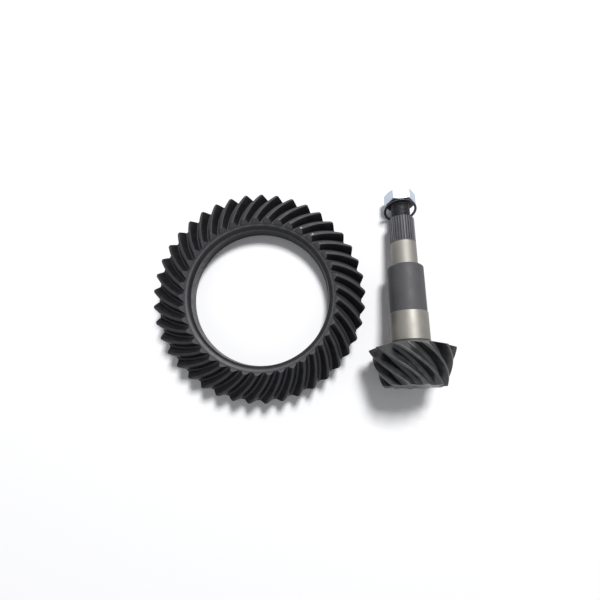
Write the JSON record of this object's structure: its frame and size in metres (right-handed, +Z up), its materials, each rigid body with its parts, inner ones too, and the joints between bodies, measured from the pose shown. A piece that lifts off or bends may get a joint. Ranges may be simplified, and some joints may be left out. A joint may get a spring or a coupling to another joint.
{
  "type": "ring and pinion gear set",
  "caption": "Spiral-toothed steel ring gear and matching pinion gear shaft with journals, splines, a threaded end, nut and loose spacer ring, laid side by side.",
  "frame": {"origin": "centre of the ring gear's bolt circle, in the plane of its back face, which rests on the surface", "axes": "+Z up along the ring gear's axis, from its back face to its teeth; +X from the ring gear towards the pinion lying beside it; the pinion's threaded end points along +Y and slopes down"},
  "size_m": [0.3421, 0.2556, 0.0926],
  "materials": {
    "ring_steel": "black phosphate",
    "pinion_steel": "dark phosphate with ground journals",
    "nut_steel": "bright zinc plate",
    "spacer_steel": "dark oiled steel"
  },
  "bodies": {
    "gears": {"ring_gear": "ring_steel", "pinion": "pinion_steel"},
    "spacer": {"spacer_ring": "spacer_steel"},
    "nut": {"pinion_nut": "nut_steel"}
  },
  "joints": [
    {"name": "nut_travel", "type": "slide", "parent": "gears", "child": "spacer", "axis": [0, 0.9893, -0.1459], "range_m": [-0.0109, 0]},
    {"name": "nut_turn", "type": "hinge", "parent": "spacer", "child": "nut", "pos_m": [0.1711, 0.1217, 0.01844], "axis": [0, 0.9893, -0.1459], "range_deg": [-2160, 0]}
  ],
  "couplings": [
    {"joint": "nut_travel", "follows": "nut_turn", "m_per_rad": 0.00028875}
  ]
}
